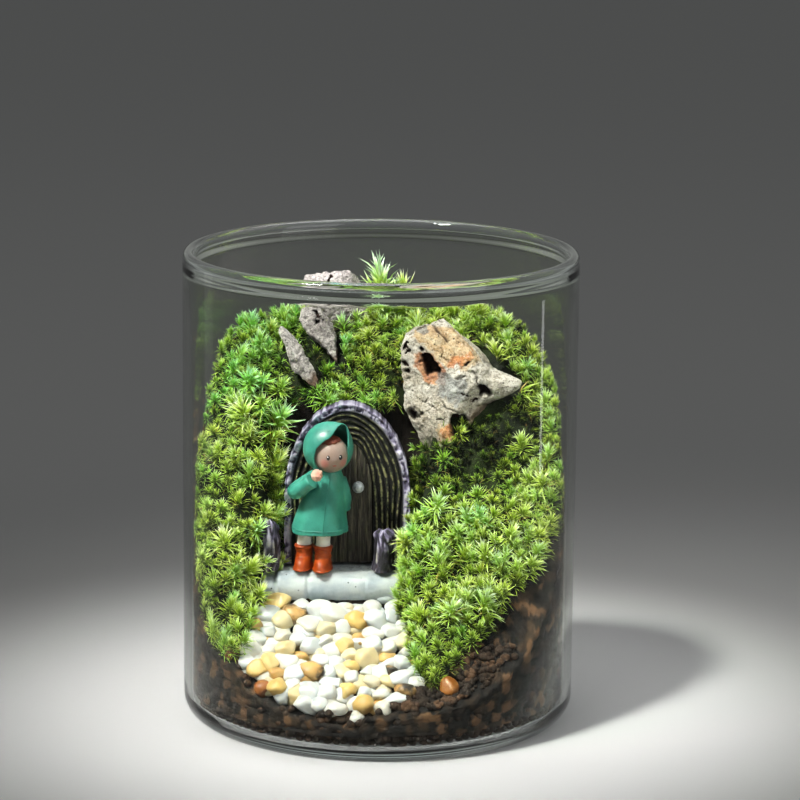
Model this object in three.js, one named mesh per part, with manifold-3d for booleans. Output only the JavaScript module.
// Glass plant terrarium: an open cylindrical jar filled with clay granules and banked peat, cushions of moss,
// weathered stones, a slope of pebbles, and a little tree-ring door with a step and a figure in a raincoat.
// Millimetres, +Z up. The origin is the middle of the jar's underside, and the front faces -Y.
import * as THREE from "three";
import { mergeVertices } from "three/addons/utils/BufferGeometryUtils.js";
import Module from "manifold-3d";

const wasm = await Module();
wasm.setup();

// ---------------------------------------------------------------- driving dimensions
const JAR_RADIUS = 50;
const JAR_HEIGHT = 120;
const WALL = 2;
const FLOOR = 3.2;
const HEEL = 5.2; // outer radius between wall and base
const RIM = 1.65; // radius of the fire-polished bead
const GAP = 0.3; // clearance between pieces that touch
const GRANULES_TOP = 6.8;
const PATH_X = -12; // middle of the pebble slope
const DOOR_X = -8.2;
const DOOR_FRONT = 1;
const DOOR_BACK = 7.2;
const DOOR_HEIGHT = 42;
const DOOR_HALF_WIDTH = 16;
const STEP_TOP = 37.6;
const FIGURE_HEIGHT = 39.4;
const SHOOT_SPACING = 6.3; // least distance between neighbouring moss shoots
const LEAVES = 6; // leaves round the crown of one shoot
const MOSS_DEPTH = 3.8; // from the peat up to where the leaves spread

const { lerp, clamp, smoothstep } = THREE.MathUtils;
const TURN = 2 * Math.PI;
const FILL_RADIUS = JAR_RADIUS - WALL - GAP - 0.1;
const MOSS_RADIUS = FILL_RADIUS - 0.2;
const point = (x, y, z) => new THREE.Vector3(x, y, z);

// A repeatable random draw from 0 to 1.
function randomFrom(seed) {
  let state = seed;
  return () => {
    state = (state * 1664525 + 1013904223) % 4294967296;
    return state / 4294967296;
  };
}

// ---------------------------------------------------------------- solids and geometries
// A closed geometry as a solid, with its faces turned out.
function solidOf(geometry) {
  const loose = geometry.index ? geometry.toNonIndexed() : geometry;
  const bare = new THREE.BufferGeometry().setAttribute("position", loose.getAttribute("position"));
  const merged = mergeVertices(bare, 1e-4);
  const corners = merged.index.array;
  const kept = [];
  for (let i = 0; i < corners.length; i += 3) {
    const [a, b, c] = corners.slice(i, i + 3);
    if (a !== b && b !== c && c !== a) kept.push(a, b, c);
  }
  const vertProperties = merged.attributes.position.array;
  const solidFrom = (faces) =>
    new wasm.Manifold(new wasm.Mesh({ numProp: 3, vertProperties, triVerts: new Uint32Array(faces) }));
  const made = solidFrom(kept);
  return made.volume() > 0 ? made : solidFrom(kept.reverse());
}

function geometryOf(solid) {
  const mesh = solid.getMesh();
  const places = new Float32Array(mesh.numVert * 3);
  for (let i = 0; i < mesh.numVert; i++) {
    places.set(mesh.vertProperties.subarray(i * mesh.numProp, i * mesh.numProp + 3), i * 3);
  }
  const geometry = new THREE.BufferGeometry().setAttribute("position", new THREE.BufferAttribute(places, 3));
  geometry.setIndex(new THREE.BufferAttribute(mesh.triVerts, 1));
  geometry.computeVertexNormals();
  return geometry;
}

const join = (solids) => solids.reduce((whole, solid) => whole.add(solid));

// Skins a row of closed loops of points, all of one length, and closes both ends with a fan.
function loft(loops) {
  const count = loops[0].length;
  const points = loops.flat();
  const faces = [];
  for (let i = 0; i + 1 < loops.length; i++) {
    for (let j = 0; j < count; j++) {
      const a = i * count + j;
      const b = i * count + ((j + 1) % count);
      faces.push(a, b, b + count, a, b + count, a + count);
    }
  }
  for (const start of [0, points.length - count]) {
    const middle = points.length;
    const sum = points.slice(start, start + count).reduce((total, p) => total.add(p), point(0, 0, 0));
    points.push(sum.divideScalar(count));
    for (let j = 0; j < count; j++) {
      const edge = [start + j, start + ((j + 1) % count)];
      faces.push(middle, ...(start === 0 ? edge.reverse() : edge));
    }
  }
  const geometry = new THREE.BufferGeometry().setFromPoints(points);
  geometry.setIndex(faces);
  return solidOf(geometry);
}

// A limb along a curve, with its radius for each share of the length, closed flat at both ends.
function limb(places, radiusAt, sides = 8, steps = 6) {
  const curve = new THREE.CatmullRomCurve3(places);
  const frames = curve.computeFrenetFrames(steps);
  const loops = frames.normals.map((normal, i) => {
    const middle = curve.getPointAt(i / steps);
    return Array.from({ length: sides }, (_, j) => {
      const out = normal.clone().applyAxisAngle(frames.tangents[i], (j / sides) * TURN);
      return middle.clone().addScaledVector(out, radiusAt(i / steps, j));
    });
  });
  return loft(loops);
}
const bluntEnds = (radius, share) => radius * Math.sqrt(Math.max(0.12, 1 - Math.abs(2 * share - 1) ** 6));

// A stack of level ovals, each given as [x, y, z, half width, half depth].
function stack(levels, sides) {
  const oval = ([x, y, z, wide, deep]) =>
    Array.from({ length: sides }, (_, i) => {
      const turn = (i / sides) * TURN;
      return point(x + wide * Math.cos(turn), y + deep * Math.sin(turn), z);
    });
  return loft(levels.map(oval));
}

// A ball stretched to three radii, whose surface is moved in and out by a share for each direction.
function lump(place, radii, detail, reachAt = () => 1, turn = [0, 0, 0]) {
  const geometry = new THREE.IcosahedronGeometry(1, detail);
  const places = geometry.attributes.position;
  const way = new THREE.Vector3();
  for (let i = 0; i < places.count; i++) {
    way.fromBufferAttribute(places, i).normalize();
    const reach = reachAt(way);
    places.setXYZ(i, way.x * radii[0] * reach, way.y * radii[1] * reach, way.z * radii[2] * reach);
  }
  const matrix = new THREE.Matrix4().makeRotationFromEuler(new THREE.Euler(...turn));
  return solidOf(geometry.applyMatrix4(matrix.setPosition(...place)));
}
const wider = (radii, extra) => radii.map((radius) => radius + extra);

// A block from its lowest to its highest corner.
function block(low, high) {
  const size = high.map((v, i) => v - low[i]);
  const middle = high.map((v, i) => (v + low[i]) / 2);
  return solidOf(new THREE.BoxGeometry(...size).translate(...middle));
}

// An upright outline in X and Z, given thickness along Y.
function slab(shape, front, back, curveSegments = 12) {
  const options = { depth: back - front, bevelEnabled: false, curveSegments };
  const geometry = new THREE.ExtrudeGeometry(shape, options).rotateX(Math.PI / 2);
  return solidOf(geometry.translate(0, back, 0));
}

// ---------------------------------------------------------------- materials and the whole
const finish = (color, roughness = 0.9, metalness = 0) =>
  new THREE.MeshStandardMaterial({ color, roughness, metalness, flatShading: true });
const terrarium = new THREE.Group();

// Adds a piece to the whole. Only its largest body is kept, so that loose scraps and sealed hollows go.
function add(name, solid, material) {
  const bodies = solid.decompose();
  bodies.sort((a, b) => b.volume() - a.volume());
  const mesh = new THREE.Mesh(geometryOf(bodies[0]), material);
  mesh.name = name;
  terrarium.add(mesh);
}

// ---------------------------------------------------------------- jar
// Borosilicate glass with a flat base, a rounded heel and a rim melted into a bead.
function jar() {
  const inside = JAR_RADIUS - WALL;
  const line = [new THREE.Vector2(0, 0)];
  const arc = (x, z, radius, from, to, steps) => {
    for (let i = 0; i <= steps; i++) {
      const turn = lerp(from, to, i / steps);
      line.push(new THREE.Vector2(x + radius * Math.cos(turn), z + radius * Math.sin(turn)));
    }
  };
  arc(JAR_RADIUS - HEEL, HEEL, HEEL, -Math.PI / 2, 0, 3);
  arc(JAR_RADIUS - RIM, JAR_HEIGHT - RIM, RIM, 0, Math.PI, 6);
  line.push(new THREE.Vector2(inside, JAR_HEIGHT - 3 * RIM));
  arc(inside - HEEL + WALL, FLOOR + HEEL - WALL, HEEL - WALL, 0, -Math.PI / 2, 3);
  line.push(new THREE.Vector2(0, FLOOR));
  return solidOf(new THREE.LatheGeometry(line, 48).rotateX(Math.PI / 2));
}
const GLASS = finish(0xdfe8e4, 0.03);
GLASS.transparent = true;
GLASS.opacity = 0.3;
add("glass_jar", jar(), GLASS);

// ---------------------------------------------------------------- ground
// The fill climbs from a low front to a high back. A slope of pebbles leads up its middle to a hollow with a
// level floor, where the step and the door stand.
const BANK_FOOT = 12.5;
const BANK_TOP = 95;
const PEBBLE_DEPTH = 3;
function bank(x, y) {
  const start = lerp(-40, -50, smoothstep(x, -30, 40));
  return lerp(BANK_FOOT, BANK_TOP, smoothstep(y, start, 36));
}
const slopeTop = (y) => 34.7 + 0.49 * y;
const hollowMiddle = (y) => lerp(PATH_X, DOOR_X, smoothstep(y, -6, 2));
const hollowHalf = (y) => lerp(22, 17, smoothstep(y, -40, 0));
const pebbleHalf = (y) => hollowHalf(y) * Math.sqrt(clamp((y + 49) / 14, 0.15, 1));
function ground(x, y) {
  const bed = PEBBLE_DEPTH * (1 - smoothstep(Math.abs(x - PATH_X) - pebbleHalf(y), -2, 1));
  const floor = lerp(slopeTop(y) - bed, STEP_TOP - 5, smoothstep(y, -9, -6));
  const hollow = lerp(floor, bank(x, y), smoothstep(y, DOOR_BACK + 1, DOOR_BACK + 6));
  const soft = lerp(x < PATH_X ? 12 : 8, 6, smoothstep(y, -20, 4));
  const away = Math.abs(x - hollowMiddle(y)) - hollowHalf(y);
  return lerp(hollow, bank(x, y), smoothstep(away, 0, soft));
}
const grain = (x, y) => 0.5 * Math.sin(1.3 * x + 0.7 * y) * Math.cos(1.1 * y - 0.4 * x);
const granulesTop = (x, y) => GRANULES_TOP + 0.25 * Math.sin(0.16 * x) * Math.cos(0.13 * y);
const heelRise = (x, y) => FLOOR + GAP + 2.2 * smoothstep(Math.hypot(x, y), 43, 48);

const SECTORS = 30;
// A round layer of fill from one surface up to another, each a height for a place.
function layer(bottomAt, topAt, bottomRings, topRings, reach = FILL_RADIUS) {
  const ring = (heightAt, radius) =>
    Array.from({ length: SECTORS }, (_, i) => {
      const x = radius * Math.cos((i / SECTORS) * TURN);
      const y = radius * Math.sin((i / SECTORS) * TURN);
      return point(x, y, heightAt(x, y));
    });
  const radii = (count) => Array.from({ length: count }, (_, i) => (reach * (i + 1)) / count);
  const under = radii(bottomRings).map((radius) => ring(bottomAt, radius));
  const over = radii(topRings).map((radius) => ring(topAt, radius));
  return loft([...under, ...over.reverse()]);
}
const peatUnder = (x, y) => granulesTop(x, y) + GAP;
const peatOver = (x, y) => ground(x, y) + grain(x, y);
const rawPeat = layer(peatUnder, peatOver, 3, 10);
const peatRaised = layer(() => FLOOR, (x, y) => peatOver(x, y) + 2 * GAP, 1, 10);
const withinJar = stack([FLOOR, JAR_HEIGHT].map((z) => [0, 0, z, MOSS_RADIUS, MOSS_RADIUS]), SECTORS);
add("clay_granules", layer(heelRise, granulesTop, 3, 3), finish(0x4a3524));

// ---------------------------------------------------------------- stones
// A weathered stone: flat faces broken off at seeded angles, with horns that stand out and pits that go in,
// each given as [direction, amount, narrowness]. Chosen faces are given as [direction, distance].
function stoneReach({ seed, cuts = [], relief = [] }) {
  const random = randomFrom(seed);
  const faces = Array.from({ length: 13 }, () => {
    const normal = point(random() - 0.5, random() - 0.5, random() - 0.5).normalize();
    return { normal, distance: lerp(0.72, 0.95, random()) };
  });
  for (const [way, distance] of cuts) faces.push({ normal: point(...way).normalize(), distance });
  const lumps = relief.map(([way, amount, narrow]) => ({ way: point(...way).normalize(), amount, narrow }));
  return (way) => {
    const flats = faces.map(({ normal, distance }) => distance / Math.max(0.3, way.dot(normal)));
    const raised = lumps.map((f) => f.amount * Math.exp(f.narrow * (way.dot(f.way) - 1)));
    return raised.reduce((sum, value) => sum + value, Math.min(1.15, ...flats));
  };
}
const STONES = [
  {
    name: "stone_large",
    place: [18.2, 10.5, 83],
    radii: [16, 9.5, 19.5],
    detail: 3,
    seed: 11,
    turn: [-0.2, 0, 0],
    cuts: [
      [[0.63, -0.15, 0.78], 0.72], // slope at the upper right
      [[0.63, -0.2, -0.78], 0.68], // undercut at the lower right
      [[-0.93, -0.1, -0.36], 0.81],
      [[-0.36, -0.1, 0.93], 1],
      [[0.05, -1, 0.15], 0.8], // broad front
    ],
    relief: [
      [[0.96, -0.35, 0.02], 0.34, 22], // horn at the right
      [[-0.3, -0.55, -0.9], 0.16, 14], // foot at the lower left
      [[-0.75, -0.4, 0.6], 0.16, 18], // upper left corner
      [[-0.25, -1, 0.12], -0.42, 70], // open hole
      [[-0.22, -0.6, 0.8], -0.3, 60], // pit under the top edge
      [[0.15, -0.8, -0.62], -0.35, 40], // cave below
    ],
  },
  {
    name: "stone_shard_upper",
    place: [-14.2, 21, 93],
    radii: [4.4, 4.6, 13],
    detail: 1,
    seed: 5,
    turn: [-0.3, -0.45, 0],
  },
  {
    name: "stone_shard_lower",
    place: [-21.4, 15, 88.5],
    radii: [3.9, 4.2, 11],
    detail: 1,
    seed: 23,
    turn: [-0.3, -0.62, 0],
  },
  {
    name: "stone_back",
    place: [-11.5, 33, 100],
    radii: [10, 6.5, 8.5],
    detail: 2,
    seed: 8,
    turn: [0, 0.15, 0.2],
  },
];
function stone(each, extra = 0) {
  return lump(each.place, wider(each.radii, extra), each.detail, stoneReach(each), each.turn);
}

// ---------------------------------------------------------------- step
// White cast stones in a row, fused to the slab that the door stands on, with a curl at the right end.
const STEP_LOGS = [
  { from: -30.4, to: -25.6, radius: 3.2, drop: 0.9 },
  { from: -26.6, to: -17.4, radius: 3.9, drop: 0.1 },
  { from: -18.4, to: 7.6, radius: 4, drop: 0 },
];
const STEP_FRONT = -8.6;
const STEP_LEFT = STEP_LOGS[0].from;
const STEP_RIGHT = STEP_LOGS.at(-1).to;
const SLAB_BACK = DOOR_BACK + 0.9;
const SLAB_DEPTH = 7.8;
function step() {
  const logs = STEP_LOGS.map(({ from, to, radius, drop }) => {
    const middle = STEP_TOP - drop - radius;
    const ends = [point(from, STEP_FRONT + 4, middle), point(to, STEP_FRONT + 4, middle)];
    return limb(ends, (share) => bluntEnds(radius, share), 9, 5);
  });
  const curl = lump([1.5, STEP_FRONT + 2.3, STEP_TOP - 6.3], [3.2, 2.3, 1.9], 1);
  const low = [STEP_LEFT + 1, STEP_FRONT + 4, STEP_TOP - SLAB_DEPTH];
  return join([...logs, curl, block(low, [STEP_RIGHT, SLAB_BACK, STEP_TOP - GAP])]);
}
function stepRoom() {
  const low = [STEP_LEFT - GAP, STEP_FRONT - GAP, STEP_TOP - SLAB_DEPTH - 0.7];
  return block(low, [STEP_RIGHT + GAP, SLAB_BACK + GAP, STEP_TOP + GAP]);
}

// ---------------------------------------------------------------- door
// Half the width and the top of the arch for a share of the way from the leaf to the bark.
const DOOR_FOOT = STEP_TOP;
const LEAF_HALF_WIDTH = 6.3;
const LEAF_HEIGHT = 32;
const archWidth = (share) => lerp(LEAF_HALF_WIDTH + GAP, DOOR_HALF_WIDTH, share);
const archTop = (share) => DOOR_FOOT + lerp(LEAF_HEIGHT + GAP, DOOR_HEIGHT, share);
const SPRING = DOOR_FOOT + 18; // where the sides start to bend in

function archShape(halfWidth, top, foot = DOOR_FOOT) {
  const shape = new THREE.Shape();
  shape.moveTo(DOOR_X - halfWidth, foot);
  shape.lineTo(DOOR_X + halfWidth, foot);
  shape.absellipse(DOOR_X, SPRING, halfWidth, top - SPRING, 0, Math.PI);
  return shape;
}

// Tree rings carried round the leaf, from the left foot over the top to the right foot.
function arch() {
  const legSteps = 2;
  const arcSteps = 12;
  const ridges = 8;
  const loops = [];
  for (let i = 0; i <= arcSteps + 2 * legSteps; i++) {
    const along = clamp((i - legSteps) / arcSteps, 0, 1);
    const fromFoot = clamp(Math.min(i, arcSteps + 2 * legSteps - i) / legSteps, 0, 1);
    const place = (share, y) => {
      const rough = share === 1 ? 0.5 * Math.sin(5 * i) : 0;
      const out = Math.cos(Math.PI * along) * (archWidth(share) + rough);
      const rise = Math.sin(Math.PI * along) * (archTop(share) + rough - SPRING);
      return point(DOOR_X - out, y, lerp(DOOR_FOOT, SPRING + rise, fromFoot));
    };
    const loop = [];
    for (let j = 0; j <= ridges; j++) {
      const share = j / ridges;
      const wave = 0.35 * Math.sin(0.9 * i + j);
      loop.push(place(share, DOOR_FRONT + lerp(2.6, 0.5, share) + (j % 2 ? 0 : 0.7) + 0.4 * wave));
    }
    loop.push(place(1, DOOR_BACK), place(0, DOOR_BACK));
    loops.push(loop);
  }
  return loft(loops).add(slab(archShape(archWidth(0.3), archTop(0.3)), DOOR_BACK - 1.4, DOOR_BACK));
}
function archOutline(extra) {
  const shape = archShape(DOOR_HALF_WIDTH + 0.5 + extra, archTop(1) + 0.5 + extra);
  return slab(shape, DOOR_FRONT - extra, DOOR_BACK + extra);
}

const LEAF_FRONT = DOOR_FRONT + 2.2;
const KNOB = { x: -5.4, z: 58.2, radius: 1.5, stem: 0.55 };
const alongY = (geometry, y) => solidOf(geometry.translate(KNOB.x, y, KNOB.z));
function leaf() {
  const back = DOOR_BACK - 1.4 - GAP;
  const foot = DOOR_FOOT + GAP / 2;
  const blank = slab(archShape(LEAF_HALF_WIDTH, DOOR_FOOT + LEAF_HEIGHT, foot), LEAF_FRONT, back);
  const grooves = [-0.5, 0, 0.5].map((share) => {
    const x = DOOR_X + share * LEAF_HALF_WIDTH;
    return block([x - 0.25, LEAF_FRONT - 1, DOOR_FOOT - 1], [x + 0.25, LEAF_FRONT + 0.5, archTop(1)]);
  });
  const hole = new THREE.CylinderGeometry(KNOB.stem + GAP, KNOB.stem + GAP, 4, 10);
  return blank.subtract(join(grooves)).subtract(alongY(hole, LEAF_FRONT));
}
function knob() {
  const { radius, stem } = KNOB;
  const line = [new THREE.Vector2(0, -radius)];
  for (let i = 1; i < 6; i++) {
    const turn = lerp(-Math.PI / 2, Math.PI / 2 - 0.38, i / 5);
    line.push(new THREE.Vector2(radius * Math.cos(turn), radius * Math.sin(turn)));
  }
  line.push(new THREE.Vector2(stem, radius + 2.2), new THREE.Vector2(0, radius + 2.2));
  return alongY(new THREE.LatheGeometry(line, 10), LEAF_FRONT - radius - GAP);
}

// Stump posts with rough sides, broken off at the top.
const POSTS = [
  { name: "door_post_left", x: -28.2, height: 12.6, radius: 2.6 },
  { name: "door_post_right", x: 1.2, height: 10.2, radius: 2.8 },
];
function post({ x, height, radius }, extra = 0) {
  const foot = STEP_TOP + GAP - extra;
  const top = foot + height + extra;
  const places = [point(x, -4.6, foot), point(x + 0.4, -4.4, foot + height / 2), point(x, -3.8, top)];
  const rough = (share, side) => 1.06 - 0.12 * share + 0.12 * Math.sin(2.4 * side);
  return limb(places, (share, side) => (radius + extra) * rough(share, side), 8, 3);
}

// ---------------------------------------------------------------- figure
// A cast toy figure in a hooded raincoat and boots, one hand raised to its chin.
const SOLE = STEP_TOP + GAP;
const atHeight = (share) => SOLE + share * FIGURE_HEIGHT;
const HEAD = { place: [-12.3, -5.9, atHeight(0.775)], radii: [4.7, 4.5, 4.7] };
const HAND = { place: [-15.7, -9.9, 63.9], radii: [1.5, 1.3, 1.6] };
const HEM = atHeight(0.25);
const BOOTS = [
  { side: "left", x: -19, y: -2.6 },
  { side: "right", x: -14.2, y: -4 },
];
function coat() {
  const body = stack(
    [
      [-15.2, -3.6, HEM, 7.2, 5.9],
      [-15.1, -3.6, atHeight(0.3), 7, 5.8],
      [-14.5, -3.6, atHeight(0.42), 6, 5.1],
      [-13.8, -3.7, atHeight(0.53), 5.1, 4.5],
      [-13.2, -3.9, atHeight(0.6), 4.3, 3.9],
      [-12.9, -4.1, atHeight(0.66), 3.2, 3.1],
    ],
    12,
  );
  const peak = point(0.25, 0.15, 1).normalize();
  const hoodReach = (way) => 1 + 0.16 * Math.exp(9 * (way.dot(peak) - 1));
  const hood = lump([-13, -4.3, atHeight(0.81)], [6.4, 6.2, 6.6], 2, hoodReach, [0, 0.1, 0]);
  const opening = lump([-11.6, -9.6, atHeight(0.775)], [4.7, 5.6, 5.6], 2, () => 1, [0, 0.12, 0]);
  const headRoom = lump(HEAD.place, wider(HEAD.radii, GAP), 2);
  const shoulder = point(-16.2, -4.3, 61.6);
  const elbow = point(-21.6, -5.8, 58.2);
  const bent = [shoulder, elbow, point(-20.4, -8, 59.4), point(-16.9, -9.3, 62.4)];
  const raised = limb(bent, (share) => lerp(2.2, 1.75, share));
  const places = [point(-9.8, -3.9, 61), point(-8.9, -4.3, 56.5), point(-8.9, -5, 52.4)];
  const hanging = limb(places, (share) => lerp(2.1, 1.8, share), 8, 3);
  return join([body, hood.subtract(opening), raised, hanging]).subtract(headRoom);
}
const figureRoom = () => stack([STEP_TOP, atHeight(1.02)].map((z) => [-13.8, -4.2, z, 10, 7.2]), 10);
const hairCap = () =>
  lump([-11.4, -6.9, atHeight(0.83)], [4.5, 4.3, 4], 2)
    .intersect(block([-16, -12, atHeight(0.845)], [-5, -7.6, 80]))
    .subtract(lump(HEAD.place, wider(HEAD.radii, GAP), 2))
    .subtract(coat());
function boot({ x, y }) {
  const shaft = stack([[x, y, SOLE, 2.3, 2.5], [x, y, SOLE + 4, 2.1, 2.2], [x, y, SOLE + 6.4, 2.5, 2.5]], 10);
  const toe = lump([x - 0.2, y - 1.7, SOLE + 1], [2.5, 3.1, 2], 1);
  return join([shaft, toe]).intersect(block([x - 9, y - 9, SOLE], [x + 9, y + 9, HEM]));
}
function leg({ x, y }) {
  const top = HEM - GAP;
  return stack([[x, y, SOLE + 6.4 + GAP, 1.9, 1.9], [x + 0.2, y, top, 1.9, 1.9]], 10);
}

// ---------------------------------------------------------------- pebbles
// Rounded quartz pebbles over a bed that fuses them, sinking into the slope in front of the step.
function pebbleSpots() {
  const random = randomFrom(3);
  const spots = [];
  for (let i = 0; i < 1500; i++) {
    const y = lerp(-47, -9, random());
    const x = PATH_X + (pebbleHalf(y) + 0.5) * lerp(-1, 1, random());
    const radii = [3.3, 2.9, 2.5].map((radius) => radius * lerp(0.9, 1.25, random()));
    const turn = [0.5, 0.5, 3].map((most) => most * random());
    const clear = spots.every((spot) => Math.hypot(spot.x - x, spot.y - y) > 5);
    if (clear && Math.hypot(x, y) < FILL_RADIUS - 2) spots.push({ x, y, z: slopeTop(y) - 1, radii, turn });
  }
  return spots;
}
function pebble({ x, y, z, radii, turn }, extra = 0) {
  return lump([x, y, z], wider(radii, extra), 0, () => 1, turn);
}
function pebbles(extra = 0) {
  const rows = Array.from({ length: 7 }, (_, i) => lerp(-47, -8.5, i / 6)).map((y) => {
    const half = pebbleHalf(y) - 1.5 + extra;
    const across = Array.from({ length: 5 }, (_, i) => PATH_X + half * lerp(-1, 1, i / 4));
    const under = across.map((x) => point(x, y, slopeTop(y) - PEBBLE_DEPTH - 1));
    const over = across.map((x) => point(x, y, slopeTop(y) - 1.7 + extra));
    return [...under, ...over.reverse()];
  });
  return join([loft(rows), ...pebbleSpots().map((spot) => pebble(spot, extra))]);
}
const STRAYS = [
  { x: -35.8, y: -27, radii: [1.7, 1.6, 1.4] },
  { x: -27.5, y: -35, radii: [2.4, 2.1, 1.9] },
  { x: 17.5, y: -37, radii: [2.6, 2.2, 2.1] },
];
const stray = (each, extra = 0) =>
  pebble({ ...each, z: ground(each.x, each.y) + 1, turn: [0.3, 0.2, each.x] }, extra);

// ---------------------------------------------------------------- moss
// A carpet of old growth lies over the soil, cut into cushions. Shoots stand in it at seeded places, none
// closer than the spacing. Each is a star of leaves round a heart that roots in the carpet.
const CUSHIONS = [
  { name: "moss_left_front", x: -37, y: -20 },
  { name: "moss_left_bank", x: -38, y: 0 },
  { name: "moss_left_crest", x: -34, y: 19 },
  { name: "moss_over_door", x: -11, y: 14 },
  { name: "moss_crown", x: 0, y: 24 },
  { name: "moss_back", x: -6, y: 39 },
  { name: "moss_back_right", x: 25, y: 32 },
  { name: "moss_right_crest", x: 40, y: 14 },
  { name: "moss_right_bank", x: 38, y: -6 },
  { name: "moss_right_front", x: 21, y: -26 },
  { name: "moss_beside_step", x: 15, y: -8 },
];
// How far inside the mossy part of the ground a place lies, behind the bare front and outside the hollow.
function mossInset(x, y) {
  const overDoor = (ground(x, y) - DOOR_FOOT - DOOR_HEIGHT + 5) / 2;
  const outside = Math.max(Math.abs(x - hollowMiddle(y)) - hollowHalf(y), overDoor);
  const front = x < PATH_X ? -29 : Math.max(-38, -50 + 0.9 * x);
  return Math.min(outside - 1, y - front);
}
const slopeUp = (x, y) =>
  point(ground(x - 1, y) - ground(x + 1, y), ground(x, y - 1) - ground(x, y + 1), 2).normalize();
function mossOver(x, y) {
  const bumps = 0.9 * Math.sin(0.8 * x) * Math.cos(0.8 * y);
  const depth = lerp(-1, MOSS_DEPTH + bumps, smoothstep(mossInset(x, y), -2, 3));
  return peatOver(x, y) + depth / Math.max(0.3, slopeUp(x, y).z);
}
function underStone(x, y) {
  const covers = ({ place: [px, py], radii: [rx, ry] }) => Math.hypot((x - px) / rx, (y - py) / ry) < 0.75;
  return STONES.some(covers);
}
function mossShoots() {
  const random = randomFrom(29);
  const shoots = [];
  for (let i = 0; i < 5000; i++) {
    const out = 44 * Math.sqrt(random());
    const turn = TURN * random();
    const x = out * Math.cos(turn);
    const y = out * Math.sin(turn);
    const foot = point(x, y, ground(x, y));
    const size = lerp(0.85, 1.2, random());
    const grows = mossInset(x, y) > 0.5 && !underStone(x, y);
    if (grows && shoots.every((shoot) => shoot.foot.distanceTo(foot) > SHOOT_SPACING)) {
      const up = slopeUp(x, y).add(point(0, 0, 0.6)).normalize();
      shoots.push({ foot, size, up, spin: TURN * random() });
    }
  }
  return shoots;
}
// A star: leaves with three sides lean out round a pointed crown, over a root that is sunk in the cushion.
function shoot({ foot, size, up, spin }) {
  const polar = (step, out, rise) => {
    const turn = spin + (step / LEAVES) * TURN;
    return point(out * Math.cos(turn), out * Math.sin(turn), rise).multiplyScalar(size);
  };
  const crown = polar(0, 0, 2.8);
  const root = polar(0, 0, -4);
  const points = [];
  for (let i = 0; i < LEAVES; i++) {
    const a = polar(i, 1.7, 0);
    const b = polar(i + 1, 1.7, 0);
    const tip = i % 2 ? polar(i + 0.5, 4.9, 4) : polar(i + 0.5, 6, 1.8);
    points.push(a, b, tip, b, crown, tip, crown, a, tip, b, a, root);
  }
  const turned = new THREE.Quaternion().setFromUnitVectors(point(0, 0, 1), up);
  const middle = foot.clone().addScaledVector(up, MOSS_DEPTH);
  const star = new THREE.BufferGeometry().setFromPoints(points).applyQuaternion(turned);
  return solidOf(star.translate(...middle));
}
const nearest = ({ foot }) => {
  const distances = CUSHIONS.map(({ x, y }) => Math.hypot(foot.x - x, foot.y - y));
  return CUSHIONS[distances.indexOf(Math.min(...distances))];
};
// The part of a solid that is nearer to one cushion's middle than to any other.
function cellOf(cushion, solid) {
  return CUSHIONS.filter((other) => other !== cushion).reduce((kept, other) => {
    const away = point(cushion.x - other.x, cushion.y - other.y, 0);
    const middle = point(cushion.x + other.x, cushion.y + other.y, 0).divideScalar(2);
    const normal = away.normalize();
    return kept.trimByPlane(normal.toArray(), middle.dot(normal) + GAP / 2);
  }, solid);
}

// ---------------------------------------------------------------- assembly
const kept = join([
  stepRoom(),
  figureRoom(),
  archOutline(GAP),
  ...POSTS.map((each) => post(each, GAP)),
  ...STONES.map((each) => stone(each, GAP)),
  ...STRAYS.map((each) => stray(each, GAP)),
]);
const pebbleRoom = pebbles(GAP);
const pebbleBed = pebbles().intersect(withinJar).subtract(kept).subtract(peatRaised);
const PLASTER = finish(0xdfe5e8, 0.6);
const BARK = finish(0x5d5668, 0.7);
const SKIN = finish(0xeec2ab, 0.45);
const AMBER = finish(0xdca544, 0.4);
const ROCK = finish(0xa88a67);

add("peat", rawPeat.subtract(kept), finish(0x2a1d13));
add("quartz_pebbles", pebbleBed, finish(0xf1eee2, 0.45));
STRAYS.forEach((each, i) => add(`amber_pebble_${i + 1}`, stray(each), AMBER));
STONES.forEach((each) => add(each.name, stone(each), ROCK));
add("door_step", step(), PLASTER);
add("door_arch", arch(), BARK);
add("door_leaf", leaf(), finish(0x2c2622, 0.7));
add("door_knob", knob(), finish(0xb9bdc6, 0.3, 0.8));
POSTS.forEach((each) => add(each.name, post(each), BARK));
add("figure_coat", coat(), finish(0x2f9a76, 0.4));
add("figure_head", lump(HEAD.place, HEAD.radii, 2), SKIN);
add("figure_hair", hairCap(), finish(0x9c4a2c, 0.6));
add("figure_hand", lump(HAND.place, HAND.radii, 1), SKIN);
for (const each of BOOTS) {
  add(`figure_boot_${each.side}`, boot(each), finish(0xd9581c, 0.4));
  add(`figure_leg_${each.side}`, leg(each), finish(0xe9e6e1, 0.5));
}
const shoots = mossShoots();
const blanket = layer(() => FLOOR + GAP, mossOver, 1, 10, MOSS_RADIUS);
for (const cushion of CUSHIONS) {
  const needles = join(shoots.filter((each) => nearest(each) === cushion).map(shoot)).intersect(withinJar);
  const cleared = cellOf(cushion, blanket.add(needles)).subtract(peatRaised).subtract(kept);
  add(cushion.name, cleared.subtract(pebbleRoom), finish(0x74a832, 0.8));
}

export default terrarium;
